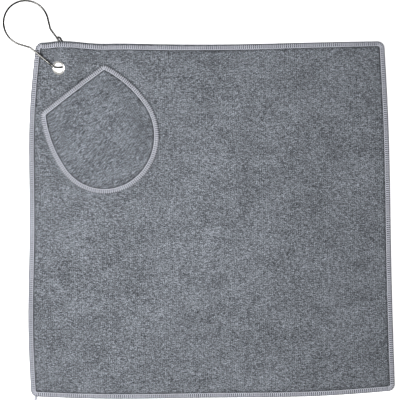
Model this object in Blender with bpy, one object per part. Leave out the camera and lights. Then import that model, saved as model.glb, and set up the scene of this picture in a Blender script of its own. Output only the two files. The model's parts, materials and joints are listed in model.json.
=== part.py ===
"""Golf towel: an overlocked microfibre square with a sewn ball pocket, a crimped eyelet
in one corner, and a sprung wire clip through the eyelet.

The towel lies on a flat surface. The origin is under the towel's middle, on that surface,
with +Z up, +X along the towel's width and +Y towards the corner edge that carries the clip.
Lengths are in millimetres and angles in degrees; add_mesh and add_tube turn them into metres.
"""

import math

import bmesh
import bpy
import numpy as np
from mathutils import Matrix, Vector

MM = 0.001
GAP = 0.3

# Towel: corners of the cut square before rounding, clockwise from the eyelet's corner, and
# how far each side bows out in its middle, in its first half against its second, and in
# its outer thirds against its middle.
TOWEL_CORNERS = ((-152.1, 151.9), (146.0, 153.1), (155.1, -145.7), (-156.1, -150.7))
SIDE_BOW = (-2.6, 0.8, 4.0, 4.2)
SIDE_SKEW = (-0.2, 0.7, 0.2, -0.6)
SIDE_FLAT = (0.2, 0.1, 0.7, 1.2)
CORNER_R = 6.0
CLOTH_T = 1.8

# Overlock band: a looper thread on each face, meeting on the edge, and a needle thread
# along the inner side.
BAND_W = 4.4
BAND_T = 2.6
BAND_CLOTH_T = 1.1
LOOPER_T = 0.5
EDGE_INSET = 0.85
NEEDLE_R = 0.25
NEEDLE_INSET = 5.0
FIELD_INSET = 6.6
EDGE_CHAMFER = 0.35

# Pocket: a shield of three arcs, its straight mouth facing the eyelet.
MOUTH_MIDDLE = (-120.7, 113.0)
MOUTH_TURN = 37.7
MOUTH_HALF = 34.1
BODY_HALF = 47.4
BODY_AT = 50.4
POCKET_LEAN = 0.0625
POCKET_CORNER_R = 5.5
POCKET_T = 1.2
POCKET_BAND_T = 2.3
POCKET_BAND_CLOTH_T = 0.9
POCKET_LOOPER_T = 0.45
POCKET_GAPE = 4.4
GAPE_FROM = 6.0
GAPE_TO = 24.0
POCKET_FIELD_EASE = 2.0
SEAM_INSET = 6.2
SEAM_R = 0.2
SEAM_CLEAR = 0.4
BOBBIN_CLEAR = 0.06
GROOVE_HALF = 0.55
GROOVE_DEPTH = 0.76
GROOVE_BELOW = 0.6
GROOVE_SPARE = 0.6

# Eyelet: centre on the cloth's middle layer, tilted with the cloth as the wire lifts it.
EYELET_AT = (-131.9, 130.2, 4.5)
EYELET_TILT = 26.0
EYELET_RISE_TURN = 26.0
HOLE_R = 4.2
BARREL_WALL = 0.3
FLANGE_R = 6.0
FLANGE_T = 0.5
FLANGE_ROUND = 0.6
FLANGE_LIP = 0.2
MOUTH_ROUND = 0.45
EYELET_CLOTH_T = 1.2
EYELET_FLAT = 0.4
EYELET_EASE = 4.5
EYELET_SIDES = 28

# Lift of the cloth over the wire that runs beneath it.
LIFT_H = 7.5
LIFT_PEAK = 9.0
LIFT_NEAR = 10.5
LIFT_FAR = 15.0
LIFT_BELOW = 12.5
LIFT_ABOVE = 29.0

# Clip: one wire, in its own plane of "along" (bow to bend) and "across".
WIRE_R = 0.9
BOW_AT = (-159.8, 168.3, 5.75)
CLIP_TURN = -46.8
CLIP_PITCH = -2.8
CLIP_ROLL = 13.0
BOW_R = 19.3
KINK_ALONG = 17.6
KINK_ACROSS = 12.0
KINK_R = 3.5
BEND_ALONG = 39.0
BEND_R = 9.2
CATCH_ALONG = 27.4
LEG_END_ALONG = 37.5
WIRE_PITCH = 2 * WIRE_R + GAP
HOOK_RUN = 3.0
HOOK_REACH = 1.3
HOOK_RISE = WIRE_PITCH + 0.1


# --- Objects and materials -------------------------------------------------------------


def clear_scene():
    for obj in list(bpy.data.objects):
        bpy.data.objects.remove(obj)


def make_material(name, colour, roughness, metallic=0.0):
    material = bpy.data.materials.new(name)
    material.use_nodes = True
    shader = material.node_tree.nodes["Principled BSDF"]
    shader.inputs["Base Color"].default_value = (*colour, 1.0)
    shader.inputs["Roughness"].default_value = roughness
    shader.inputs["Metallic"].default_value = metallic
    return material


def add_mesh(name, points, faces, material):
    mesh = bpy.data.meshes.new(name)
    mesh.from_pydata([Vector(p) * MM for p in points], [], faces)
    mesh.materials.append(material)
    shape = bmesh.new()
    shape.from_mesh(mesh)
    bmesh.ops.remove_doubles(shape, verts=shape.verts, dist=0.00001)
    bmesh.ops.recalc_face_normals(shape, faces=shape.faces)
    shape.to_mesh(mesh)
    shape.free()
    mesh.shade_smooth()
    mesh.set_sharp_from_angle(angle=math.radians(50))
    obj = bpy.data.objects.new(name, mesh)
    bpy.context.scene.collection.objects.link(obj)
    return obj


def add_tube(name, points, radius, material):
    curve = bpy.data.curves.new(name, "CURVE")
    curve.dimensions = "3D"
    curve.bevel_depth = radius * MM
    curve.bevel_resolution = 2
    curve.use_fill_caps = True
    curve.materials.append(material)
    spline = curve.splines.new("POLY")
    spline.points.add(len(points) - 1)
    for target, point in zip(spline.points, points):
        target.co = (*(Vector(point) * MM), 1.0)
    spline.use_smooth = True
    obj = bpy.data.objects.new(name, curve)
    bpy.context.scene.collection.objects.link(obj)
    return obj


def cut(obj, cutter):
    modifier = obj.modifiers.new("cut", "BOOLEAN")
    modifier.operation = "DIFFERENCE"
    modifier.solver = "EXACT"
    modifier.object = cutter
    cutter.hide_render = True
    cutter.display_type = "WIRE"


def joined_ring(sections):
    """Points and faces of sections joined into a closed ring."""
    rows = len(sections)
    width = len(sections[0])
    faces = []
    for i in range(rows):
        for j in range(width):
            here, ahead = i * width, (i + 1) % rows * width
            faces.append((here + j, here + (j + 1) % width, ahead + (j + 1) % width, ahead + j))
    return [p for section in sections for p in section], faces


def smooth_step(share):
    share = np.clip(share, 0.0, 1.0)
    return share * share * (3.0 - 2.0 * share)


# --- Directions of the eyelet and the clip ---------------------------------------------

RISE = Vector((math.cos(math.radians(EYELET_RISE_TURN)), math.sin(math.radians(EYELET_RISE_TURN)), 0.0))
LEVEL = Vector((-RISE.y, RISE.x, 0.0))
EYELET_SLOPE = math.tan(math.radians(EYELET_TILT))
EYELET_AXIS = Vector((-RISE.x * EYELET_SLOPE, -RISE.y * EYELET_SLOPE, 1.0)).normalized()

CLIP_FRAME = (
    Matrix.Rotation(math.radians(CLIP_TURN), 3, "Z")
    @ Matrix.Rotation(math.radians(-CLIP_PITCH), 3, "Y")
    @ Matrix.Rotation(math.radians(-CLIP_ROLL), 3, "X")
)


def clip_point(along, across, over=0.0):
    return Vector(BOW_AT) + CLIP_FRAME @ Vector((along, across, over))


# --- Height of the towel ---------------------------------------------------------------


def lift(x, y):
    """How far the towel stands off the surface at (x, y), over the clip's wire."""
    dx, dy = x - EYELET_AT[0], y - EYELET_AT[1]
    rise = dx * RISE.x + dy * RISE.y
    level = dx * LEVEL.x + dy * LEVEL.y
    reach = np.where(rise < LIFT_PEAK, LIFT_NEAR, LIFT_FAR)
    spread = np.where(level < 0.0, LIFT_BELOW, LIFT_ABOVE)
    hump = LIFT_H * np.exp(-(((rise - LIFT_PEAK) / reach) ** 2) - (level / spread) ** 2)
    plane = EYELET_AT[2] - CLOTH_T / 2 + EYELET_SLOPE * rise
    share = eyelet_share(x, y)
    return hump * (1.0 - share) + plane * share


def eyelet_share(x, y):
    """1 where the eyelet clamps the cloth flat, falling to 0 around it."""
    distance = np.hypot(x - EYELET_AT[0], y - EYELET_AT[1])
    return 1.0 - smooth_step((distance - FLANGE_R - EYELET_FLAT) / EYELET_EASE)


# --- Towel outline ---------------------------------------------------------------------


def side_normal(side):
    start = Vector(TOWEL_CORNERS[side])
    end = Vector(TOWEL_CORNERS[(side + 1) % 4])
    ahead = (end - start).normalized()
    return Vector((-ahead.y, ahead.x))


def corner_core(corner):
    """Centre of a corner's arc: as far from both of its sides as the arc's radius."""
    before, after = side_normal(corner - 1), side_normal(corner)
    mitre = (before + after) / (1.0 + before.dot(after))
    return Vector(TOWEL_CORNERS[corner]) - mitre * CORNER_R


def side_bow(side, part):
    """How far a side stands out from its straight run, at a part of its length."""
    waves = (SIDE_BOW[side], SIDE_SKEW[side], SIDE_FLAT[side])
    return sum(size * math.sin((k + 1) * math.pi * part) for k, size in enumerate(waves))


def towel_side(side, shares, inset):
    """Points of one side moved in by inset, from the middle of one corner to the next."""
    first, last = corner_core(side), corner_core((side + 1) % 4)
    normal = side_normal(side)
    radius = CORNER_R - inset
    straight = (last - first).length
    arc = radius * math.pi / 4
    points = []
    for share in shares:
        distance = share * (straight + 2 * arc)
        run = min(max(distance - arc, 0.0), straight)
        turn = (min(distance - arc, 0.0) + max(distance - arc - straight, 0.0)) / radius
        outward = Matrix.Rotation(-turn, 2) @ normal
        part = run / straight
        points.append(first.lerp(last, part) + outward * radius + normal * side_bow(side, part))
    return np.array([tuple(p) for p in points])


def side_shares(side):
    """Stations along a side: close together at the corners and beside the eyelet."""
    length = (Vector(TOWEL_CORNERS[side]) - Vector(TOWEL_CORNERS[(side + 1) % 4])).length
    near_eyelet = list(np.arange(8.0, 64.0, 5.0))
    plain = [8.0, 22.0, 42.0]
    start = near_eyelet if side == 0 else plain
    end = near_eyelet if side == 3 else plain
    middle = list(np.linspace(78.0, length - 78.0, 8))
    stations = [0.0, 1.5, 3.0, 4.5] + start + middle
    stations += [length - d for d in reversed([0.0, 1.5, 3.0, 4.5] + end)]
    return np.array(stations) / length


def towel_loop(inset):
    """The towel's outline moved in by inset, as a closed run of points."""
    return np.concatenate([towel_side(k, side_shares(k)[:-1], inset) for k in range(4)])


def distance_to(points, line, closed=True):
    """Shortest distance from each point to a run of points."""
    ends = np.roll(line, -1, axis=0) if closed else line[1:]
    starts = line if closed else line[:-1]
    best = np.full(len(points), np.inf)
    for start, end in zip(starts, ends):
        run = end - start
        share = np.clip((points - start) @ run / max(run @ run, 1e-12), 0.0, 1.0)
        off = points - start - share[:, None] * run
        best = np.minimum(best, np.hypot(off[:, 0], off[:, 1]))
    return best


TOWEL_OUTLINE = towel_loop(0.0)


def towel_faces(points):
    """Underside and top height of the towel's cloth at each point."""
    x, y = points[:, 0], points[:, 1]
    inset = distance_to(points, TOWEL_OUTLINE)
    field = smooth_step((inset - NEEDLE_INSET - NEEDLE_R) / (FIELD_INSET - NEEDLE_INSET))
    middle = BAND_T / 2 + (CLOTH_T - BAND_T) / 2 * field
    half = (BAND_CLOTH_T + (CLOTH_T - BAND_CLOTH_T) * field) / 2
    clamped = EYELET_CLOTH_T / 2 / math.cos(math.radians(EYELET_TILT))
    half = half + (clamped - half) * eyelet_share(x, y)
    centre = lift(x, y) + middle
    return centre - half, centre + half


# --- Towel cloth and its band ----------------------------------------------------------


def make_towel_cloth(material):
    """Square sheet between its four sides, with finer rows near the edges and the eyelet."""
    rim = [0.0, 2.2, 4.2, 5.4, 7.0]
    fine = list(np.arange(9.5, 62.0, 3.4))
    coarse = list(np.linspace(72.0, 292.0, 10))
    stations = np.array(rim + fine + coarse + [300.0 - d for d in reversed(rim)]) / 300.0
    top = towel_side(0, stations, EDGE_INSET)
    right = towel_side(1, stations, EDGE_INSET)
    bottom = towel_side(2, 1.0 - stations, EDGE_INSET)
    left = towel_side(3, 1.0 - stations, EDGE_INSET)
    count = len(stations)
    rows = []
    for j, v in enumerate(stations):
        u = stations[:, None]
        row = (1 - v) * top + v * bottom + (1 - u) * left[j] + u * right[j]
        row -= (1 - u) * ((1 - v) * top[0] + v * bottom[0])
        row -= u * ((1 - v) * top[-1] + v * bottom[-1])
        rows.append(row)
    flat = np.concatenate(rows)
    under, over = towel_faces(flat)
    points = [(*p, z) for p, z in zip(flat, over)] + [(*p, z) for p, z in zip(flat, under)]
    faces = sheet_faces(count, count)
    return add_mesh("towel_cloth", points, faces, material)


def sheet_faces(rows, columns):
    """Faces of a closed sheet: a grid, the same grid beneath it, and a wall round both."""
    below = rows * columns
    faces = []
    for j in range(rows - 1):
        for i in range(columns - 1):
            a = j * columns + i
            faces.append((a, a + 1, a + columns + 1, a + columns))
            faces.append((a + below, a + columns + below, a + columns + 1 + below, a + 1 + below))
    rim = list(range(columns))
    rim += [j * columns + columns - 1 for j in range(1, rows)]
    rim += [(rows - 1) * columns + i for i in range(columns - 2, -1, -1)]
    rim += [j * columns for j in range(rows - 2, 0, -1)]
    for a, b in zip(rim, rim[1:] + rim[:1]):
        faces.append((b, a, a + below, b + below))
    return faces


def looper_section(thickness, looper, width, upper):
    """Cross-section as (inset, height): a flat leg over the face and a short one on the edge."""
    middle = thickness / 2 - GAP / 2
    section = [
        (0.0, EDGE_CHAMFER * looper),
        (EDGE_CHAMFER * looper, 0.0),
        (width, 0.0),
        (width, looper),
        (looper, looper),
        (looper, middle),
        (0.0, middle),
    ]
    return [(s, thickness - h) for s, h in section] if upper else section


def sweep_towel(name, section, material):
    """Carries a cross-section round the towel's edge, on the lifted surface."""
    rings = []
    for inset, height in section:
        loop = towel_loop(inset)
        rings.append([(x, y, z + height) for (x, y), z in zip(loop, lift(loop[:, 0], loop[:, 1]))])
    points, faces = joined_ring(list(zip(*rings)))
    return add_mesh(name, points, faces, material)


def round_section(inset, height, radius, sides=6):
    turns = [2 * math.pi * k / sides for k in range(sides)]
    return [(inset + radius * math.cos(t), height + radius * math.sin(t)) for t in turns]


def make_towel_band(material):
    for name, upper in (("towel_edge_upper_looper", True), ("towel_edge_lower_looper", False)):
        sweep_towel(name, looper_section(BAND_T, LOOPER_T, BAND_W, upper), material)
    height = (BAND_T + BAND_CLOTH_T) / 2 + GAP + NEEDLE_R
    sweep_towel("towel_edge_needle_thread", round_section(NEEDLE_INSET, height, NEEDLE_R), material)


# --- Pocket ----------------------------------------------------------------------------

POCKET_TURN = Matrix.Rotation(math.radians(MOUTH_TURN), 2)
MOUTH_POINTS = 13
CORNER_POINTS = 4
FLARE = BODY_HALF - MOUTH_HALF
SIDE_R = (BODY_AT**2 + FLARE**2) / (2 * FLARE)


def pocket_world(across, along):
    """A point of the pocket's own plan: across its mouth, and along from the mouth inwards."""
    turned = POCKET_TURN @ Vector((across - POCKET_LEAN * along, -along))
    return turned.x + MOUTH_MIDDLE[0], turned.y + MOUTH_MIDDLE[1]


def pocket_core():
    """Centres and outward directions that make every loop of the pocket, from the mouth's
    left end along the mouth, down the right side, round the bottom and up the left side."""
    radius = SIDE_R - POCKET_CORNER_R
    side_centre = BODY_HALF - SIDE_R
    side_turn = math.asin((BODY_AT - POCKET_CORNER_R) / radius)
    mouth_end = side_centre + radius * math.cos(side_turn)
    core = []
    for across in np.linspace(-mouth_end, mouth_end, MOUTH_POINTS):
        core.append(((across, POCKET_CORNER_R), math.pi / 2))
    for turn in np.linspace(math.pi / 2, side_turn, CORNER_POINTS + 1)[1:]:
        core.append(((mouth_end, POCKET_CORNER_R), turn))
    for turn in np.linspace(side_turn, 0.0, 7)[1:]:
        core.append(((side_centre + radius * math.cos(turn), BODY_AT - radius * math.sin(turn)), turn))
    body_radius = BODY_HALF - POCKET_CORNER_R
    for turn in np.linspace(0.0, -math.pi, 19)[1:]:
        core.append(((body_radius * math.cos(turn), BODY_AT - body_radius * math.sin(turn)), turn))
    for turn in np.linspace(0.0, side_turn, 7)[1:]:
        place = (-side_centre - radius * math.cos(turn), BODY_AT - radius * math.sin(turn))
        core.append((place, math.pi - turn))
    for turn in np.linspace(math.pi - side_turn, math.pi / 2, CORNER_POINTS + 1)[1:-1]:
        core.append(((-mouth_end, POCKET_CORNER_R), turn))
    return core


def pocket_loop(inset, draw_in=1.0):
    """The pocket's outline moved in by inset; draw_in below 1 shrinks it further, to its middle."""
    points = []
    for (across, along), turn in pocket_core():
        reach = POCKET_CORNER_R - inset
        place = (across + reach * math.cos(turn), along - reach * math.sin(turn))
        points.append(pocket_world(place[0] * draw_in, BODY_AT + (place[1] - BODY_AT) * draw_in))
    return np.array(points)


POCKET_OUTLINE = pocket_loop(0.0)
POCKET_SEWN = np.roll(POCKET_OUTLINE, -MOUTH_POINTS, axis=0)[: len(POCKET_OUTLINE) - MOUTH_POINTS + 1]


def pocket_base(points):
    """Height of the pocket's underside: on the towel along the sewn edge, gaping inside it."""
    from_seam = distance_to(points, POCKET_SEWN, closed=False)
    gape = POCKET_GAPE * smooth_step((from_seam - GAPE_FROM) / (GAPE_TO - GAPE_FROM))
    return lift(points[:, 0], points[:, 1]) + CLOTH_T + GAP + gape


def pocket_faces(points):
    """Underside and top height of the pocket's cloth at each point."""
    inset = distance_to(points, POCKET_OUTLINE)
    field = smooth_step((inset - NEEDLE_INSET - NEEDLE_R) / POCKET_FIELD_EASE)
    half = (POCKET_BAND_CLOTH_T + (POCKET_T - POCKET_BAND_CLOTH_T) * field) / 2
    centre = pocket_base(points) + POCKET_BAND_T / 2
    return centre - half, centre + half


def make_pocket_cloth(material):
    """Sheet of loops inside one another, closed by a fan in the middle of each face."""
    loops = [pocket_loop(inset) for inset in (EDGE_INSET, 3.0, POCKET_CORNER_R)]
    loops += [pocket_loop(POCKET_CORNER_R, share) for share in (0.92, 0.8, 0.64, 0.46, 0.26)]
    middle = np.array([pocket_world(0.0, BODY_AT)])
    flat = np.concatenate([*loops, middle])
    under, over = pocket_faces(flat)
    points = [(*p, z) for p, z in zip(flat, over)] + [(*p, z) for p, z in zip(flat, under)]
    size, below = len(loops[0]), len(flat)
    hub = below - 1
    faces = []
    for k in range(size):
        ahead = (k + 1) % size
        for ring in range(len(loops) - 1):
            a, b = ring * size + k, ring * size + ahead
            faces.append((a, b, b + size, a + size))
            faces.append((a + below, a + size + below, b + size + below, b + below))
        last = (len(loops) - 1) * size
        faces.append((last + k, last + ahead, hub))
        faces.append((last + ahead + below, last + k + below, hub + below))
        faces.append((ahead, k, k + below, ahead + below))
    return add_mesh("pocket_cloth", points, faces, material)


def sweep_pocket(name, section, material):
    """Carries a cross-section round the pocket's edge, on its gaping surface."""
    centre_line = pocket_base(pocket_loop(BAND_W / 2))
    rings = []
    for inset, height in section:
        loop = pocket_loop(inset)
        rings.append([(x, y, z + height) for (x, y), z in zip(loop, centre_line)])
    points, faces = joined_ring(list(zip(*rings)))
    return add_mesh(name, points, faces, material)


def make_pocket_band(material):
    for name, upper in (("pocket_edge_upper_looper", True), ("pocket_edge_lower_looper", False)):
        section = looper_section(POCKET_BAND_T, POCKET_LOOPER_T, BAND_W, upper)
        sweep_pocket(name, section, material)
    height = (POCKET_BAND_T + POCKET_BAND_CLOTH_T) / 2 + GAP + NEEDLE_R
    sweep_pocket("pocket_edge_needle_thread", round_section(NEEDLE_INSET, height, NEEDLE_R), material)


def seam_line():
    """The seam that sews the pocket down: inside its band, from one mouth corner to the other."""
    loop = pocket_loop(SEAM_INSET)
    return loop[MOUTH_POINTS + CORNER_POINTS : len(loop) - CORNER_POINTS + 1]


def make_pocket_seam(material, towel):
    line = seam_line()
    over = pocket_faces(line)[1] + SEAM_CLEAR + SEAM_R
    add_tube("pocket_seam_needle_thread", [(*p, z) for p, z in zip(line, over)], SEAM_R, material)
    under = lift(line[:, 0], line[:, 1]) + SEAM_R + BOBBIN_CLEAR
    add_tube("pocket_seam_bobbin_thread", [(*p, z) for p, z in zip(line, under)], SEAM_R, material)
    cut(towel, make_groove_cutter(line, material))


def make_groove_cutter(line, material):
    """A shallow channel in the towel's underside that the bobbin thread lies in."""
    ahead = np.gradient(line, axis=0)
    ahead /= np.hypot(ahead[:, 0], ahead[:, 1])[:, None]
    line = line.copy()
    line[0] -= ahead[0] * GROOVE_SPARE
    line[-1] += ahead[-1] * GROOVE_SPARE
    side = np.stack([-ahead[:, 1], ahead[:, 0]], axis=1) * GROOVE_HALF
    base = lift(line[:, 0], line[:, 1])
    points = []
    for place, off, z in zip(line, side, base):
        left, right = place - off, place + off
        low, high = z - GROOVE_BELOW, z + GROOVE_DEPTH
        points += [(*left, low), (*right, low), (*right, high), (*left, high)]
    faces = [(0, 1, 2, 3), tuple(len(points) - k for k in (1, 2, 3, 4))]
    for k in range(len(line) - 1):
        a = 4 * k
        faces += [(a + i, a + (i + 1) % 4, a + 4 + (i + 1) % 4, a + 4 + i) for i in range(4)]
    return add_mesh("groove_cutter", points, faces, material)


# --- Eyelet ----------------------------------------------------------------------------


def eyelet_spokes():
    """Unit directions out from the eyelet's axis, all the way round."""
    across = (RISE - EYELET_AXIS * RISE.dot(EYELET_AXIS)).normalized()
    beside = EYELET_AXIS.cross(across)
    turns = [2 * math.pi * k / EYELET_SIDES for k in range(EYELET_SIDES)]
    return [across * math.cos(t) + beside * math.sin(t) for t in turns]


def eyelet_point(spoke, radius, height):
    return Vector(EYELET_AT) + spoke * radius + EYELET_AXIS * height


def turned(name, profile, material):
    """Turns a closed (radius, height) profile about the eyelet's axis."""
    rings = [[eyelet_point(spoke, r, h) for r, h in profile] for spoke in eyelet_spokes()]
    points, faces = joined_ring(rings)
    return add_mesh(name, points, faces, material)


def make_eyelet(material):
    """The barrel with its rolled front flange, and the washer on the back."""
    face = EYELET_CLOTH_T / 2 + GAP
    back = -(face + FLANGE_T)
    outer = HOLE_R + BARREL_WALL
    turned(
        "eyelet",
        [
            (HOLE_R, back + FLANGE_LIP),
            (HOLE_R, face),
            (HOLE_R + MOUTH_ROUND, face + FLANGE_T),
            (FLANGE_R - FLANGE_ROUND, face + FLANGE_T),
            (FLANGE_R, face + FLANGE_LIP),
            (FLANGE_R - FLANGE_LIP / 2, face),
            (outer, face),
            (outer, back),
            (HOLE_R + FLANGE_LIP / 2, back),
        ],
        material,
    )
    inner = outer + GAP
    turned(
        "eyelet_washer",
        [
            (inner, -face),
            (FLANGE_R - FLANGE_LIP / 2, -face),
            (FLANGE_R, -face - FLANGE_LIP),
            (FLANGE_R - FLANGE_ROUND, back),
            (inner, back),
        ],
        material,
    )


def cut_eyelet_hole(towel, material):
    radius = HOLE_R + BARREL_WALL + GAP
    reach = 6.0
    spokes = eyelet_spokes()
    points = [eyelet_point(spoke, radius, -reach) for spoke in spokes]
    points += [eyelet_point(spoke, radius, reach) for spoke in spokes]
    sides = EYELET_SIDES
    faces = [tuple(range(sides)), tuple(range(2 * sides - 1, sides - 1, -1))]
    faces += [(k, (k + 1) % sides, (k + 1) % sides + sides, k + sides) for k in range(sides)]
    cut(towel, add_mesh("eyelet_hole_cutter", points, faces, material))


# --- Clip ------------------------------------------------------------------------------


def arc(centre, radius, first, last, steps):
    """(along, across) points of an arc, angles in radians from the along direction."""
    turns = np.linspace(first, last, steps)
    return [(centre[0] + radius * math.cos(t), centre[1] + radius * math.sin(t)) for t in turns]


def tangent_turn(point, centre, radius, side):
    """Angle on a circle where the line from an outside point touches it."""
    dx, dy = point[0] - centre[0], point[1] - centre[1]
    return math.atan2(dy, dx) + side * math.acos(radius / math.hypot(dx, dy))


def rounded_corner(before, corner, after, radius, steps=5):
    """Points of the arc that rounds the corner between two straight runs."""
    corner = Vector(corner)
    back = (Vector(before) - corner).normalized()
    ahead = (Vector(after) - corner).normalized()
    half = back.angle(ahead) / 2
    centre = corner + (back + ahead).normalized() * radius / math.sin(half)
    start = corner + back * radius / math.tan(half)
    end = corner + ahead * radius / math.tan(half)
    first = math.atan2(*(start - centre).yx)
    sweep = (start - centre).angle_signed(end - centre)
    return arc(centre, radius, first, first - sweep, steps)


def clip_side(side):
    """Half of the bow, the neck's kink and the leg, on one side: 1 right, -1 left."""
    kink = (KINK_ALONG, side * KINK_ACROSS)
    bow_end = side * abs(tangent_turn(kink, (0.0, 0.0), BOW_R, side))
    spare = GAP / 2 / BOW_R
    bow = arc((0.0, 0.0), BOW_R, side * (math.pi - spare), bow_end, 15)
    bend = (BEND_ALONG, 0.0)
    touch = tangent_turn(kink, bend, BEND_R, -side)
    foot = arc(bend, BEND_R, touch, touch, 1)[0]
    return bow + rounded_corner(bow[-1], kink, foot, KINK_R), foot, touch


def leg_across(along):
    """Where the right leg's centre line is at a place along the clip."""
    kink_run, foot, _ = clip_side(1)
    start = kink_run[-1]
    share = (along - start[0]) / (foot[0] - start[0])
    return start[1] + (foot[1] - start[1]) * share


def make_clip(material):
    """The one wire as two halves, parted at the far end of the bow, where it flexes."""
    run, foot, _ = clip_side(1)
    leg = [(a, leg_across(a)) for a in np.linspace(run[-1][0], LEG_END_ALONG, 4)[1:]]
    free_half = [clip_point(*p) for p in run + leg]
    add_tube("clip_latch_leg", free_half, WIRE_R, material)

    run, foot, touch = clip_side(-1)
    right_touch = clip_side(1)[2]
    bend = []
    for turn in np.linspace(touch, right_touch, 17):
        opened = WIRE_PITCH * smooth_step((turn - touch) / (right_touch - touch))
        bend += arc((BEND_ALONG, 0.0), BEND_R + opened, turn, turn, 1)
    end = CATCH_ALONG + HOOK_RUN
    back_start = bend[-1][0] - HOOK_RUN
    back = [(a, leg_across(a) + WIRE_PITCH) for a in np.linspace(back_start, end, 3)]
    held_half = [clip_point(*p) for p in run + bend + back]
    base = leg_across(CATCH_ALONG)
    for turn in np.linspace(0.0, math.pi / 2, 5)[1:]:
        across = base + WIRE_PITCH * math.cos(turn)
        over = HOOK_RISE * math.sin(turn)
        held_half.append(clip_point(end - HOOK_RUN * math.sin(turn), across, over))
    held_half.append(clip_point(CATCH_ALONG - 0.2, base - HOOK_REACH, HOOK_RISE))
    add_tube("clip_hooked_leg", held_half, WIRE_R, material)


def add_axis(name, place, direction):
    """An empty whose Z axis is a joint's axis."""
    empty = bpy.data.objects.new(name, None)
    empty.empty_display_size = 10 * MM
    empty.rotation_mode = "QUATERNION"
    empty.rotation_quaternion = Vector(direction).to_track_quat("Z", "Y")
    empty.location = Vector(place) * MM
    bpy.context.scene.collection.objects.link(empty)
    return empty


def ride_on(empty, *names):
    """Parents finished objects to a joint's axis without moving them."""
    bpy.context.view_layer.update()
    for name in names:
        obj = bpy.data.objects[name]
        obj.parent = empty
        obj.matrix_parent_inverse = empty.matrix_world.inverted()


# --- Assembly --------------------------------------------------------------------------


def build():
    clear_scene()
    cloth = make_material("microfibre", (0.16, 0.18, 0.21), 0.95)
    pocket = make_material("pocket_fabric", (0.17, 0.19, 0.22), 0.9)
    thread = make_material("thread", (0.5, 0.52, 0.57), 0.7)
    nickel = make_material("nickel", (0.75, 0.74, 0.72), 0.2, 1.0)
    steel = make_material("spring_wire", (0.5, 0.49, 0.47), 0.25, 1.0)

    towel = make_towel_cloth(cloth)
    cut_eyelet_hole(towel, cloth)
    make_towel_band(thread)
    make_pocket_cloth(pocket)
    make_pocket_band(thread)
    make_pocket_seam(thread, towel)
    make_eyelet(nickel)
    make_clip(steel)

    swivel = add_axis("clip_swivel_axis", EYELET_AT, EYELET_AXIS)
    flip = add_axis("clip_flip_axis", EYELET_AT, CLIP_FRAME.col[0])
    latch = add_axis("clip_latch_axis", clip_point(-BOW_R, 0.0), -CLIP_FRAME.col[2])
    ride_on(swivel, "eyelet", "eyelet_washer", flip.name)
    ride_on(flip, "clip_hooked_leg", latch.name)
    ride_on(latch, "clip_latch_leg")


build()
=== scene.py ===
"""Looks of the golf towel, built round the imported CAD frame.

Lengths are in millimetres and turned into metres when a mesh is made. Places come from
the frame: the eyelet and the clip from the joints, the rest from the towel's own plan,
which repeats the design's driving dimensions.
"""

import json
import math

import bmesh
import bpy
import numpy as np
from mathutils import Matrix, Vector


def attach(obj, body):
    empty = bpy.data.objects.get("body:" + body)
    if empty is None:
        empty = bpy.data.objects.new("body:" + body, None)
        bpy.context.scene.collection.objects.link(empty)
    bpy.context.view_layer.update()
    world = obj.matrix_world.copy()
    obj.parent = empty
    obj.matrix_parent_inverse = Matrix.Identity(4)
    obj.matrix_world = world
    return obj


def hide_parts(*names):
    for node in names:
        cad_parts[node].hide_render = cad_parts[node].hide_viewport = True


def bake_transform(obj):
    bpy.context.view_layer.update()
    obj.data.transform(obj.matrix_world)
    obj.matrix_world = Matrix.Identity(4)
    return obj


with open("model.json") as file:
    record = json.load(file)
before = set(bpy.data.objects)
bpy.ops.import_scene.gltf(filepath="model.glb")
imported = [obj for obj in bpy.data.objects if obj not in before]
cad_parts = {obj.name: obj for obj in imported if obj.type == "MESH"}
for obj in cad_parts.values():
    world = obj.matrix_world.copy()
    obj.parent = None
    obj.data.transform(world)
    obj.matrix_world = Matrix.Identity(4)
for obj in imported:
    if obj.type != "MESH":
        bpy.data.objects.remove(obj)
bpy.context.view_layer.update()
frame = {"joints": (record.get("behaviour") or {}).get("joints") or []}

MM = 0.001
TINY = 1e-12
JOINTS = {joint["name"]: joint for joint in frame["joints"]}

# Towel plan. Corners and sides run clockwise from the upper left; the sides are the top,
# right, bottom and left one. Each bows out by one, two and three half waves.
TOWEL_CORNERS = ((-152.1, 151.9), (146.0, 153.1), (155.1, -145.7), (-156.1, -150.7))
SIDE_BOW = (-2.6, 0.8, 4.0, 4.2)
SIDE_SKEW = (-0.2, 0.7, 0.2, -0.6)
SIDE_FLAT = (0.2, 0.1, 0.7, 1.2)
CORNER_R = 6.0
# The clip's wire pushes the top side about: (part of its length, spread, push)
WIRE_PUSH = ((0.0, 0.03, -1.2), (0.076, 0.042, 0.5), (0.17, 0.05, -0.7))
CORNER_STEPS = 9
SIDE_POINTS = 61
OUTLINE_POINTS = 399

# Towel section: the overlocked band, where the cloth is pressed thin, then a groove where
# its top dips beside the threads, then the full cloth of the field
CLOTH_T = 1.8
BAND_T = 2.6
BAND_CLOTH_T = 1.3
EDGE_INSET = 0.22
BAND_W = 4.5
FIELD_START = 0.5
FIELD_INSET = 6.4
GROOVE_AT = 0.4
GROOVE_HALF = 0.5
GROOVE_DEPTH = 0.8

# Rows of the towel's grid, as distances in from the side of a 300 mm cloth: close ones at
# the band, then even ones
RIM_ROWS = (0.0, 1.2, 2.6, 3.5, 3.9, 4.3, 4.7, 5.2, 5.8, 6.8, 8.2)
FIRST_EVEN_ROW = 9.7
GRID_SIDE = 300.0
EVEN_ROWS = 178

# How much painted shade darkens the knit round the band's threads, standing for their shadow and the
# shadowed gaps between them: fully under them, less at the very rim, and fading just inside them
UNDER_BAND = BAND_W - 0.1
RIM_W = 1.2
RIM_SHARE = 0.5
SHADE_STRIP_AT = 0.3
SHADE_STRIP_HALF = 0.45
SHADE_STRIP_SHARE = 0.6

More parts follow.
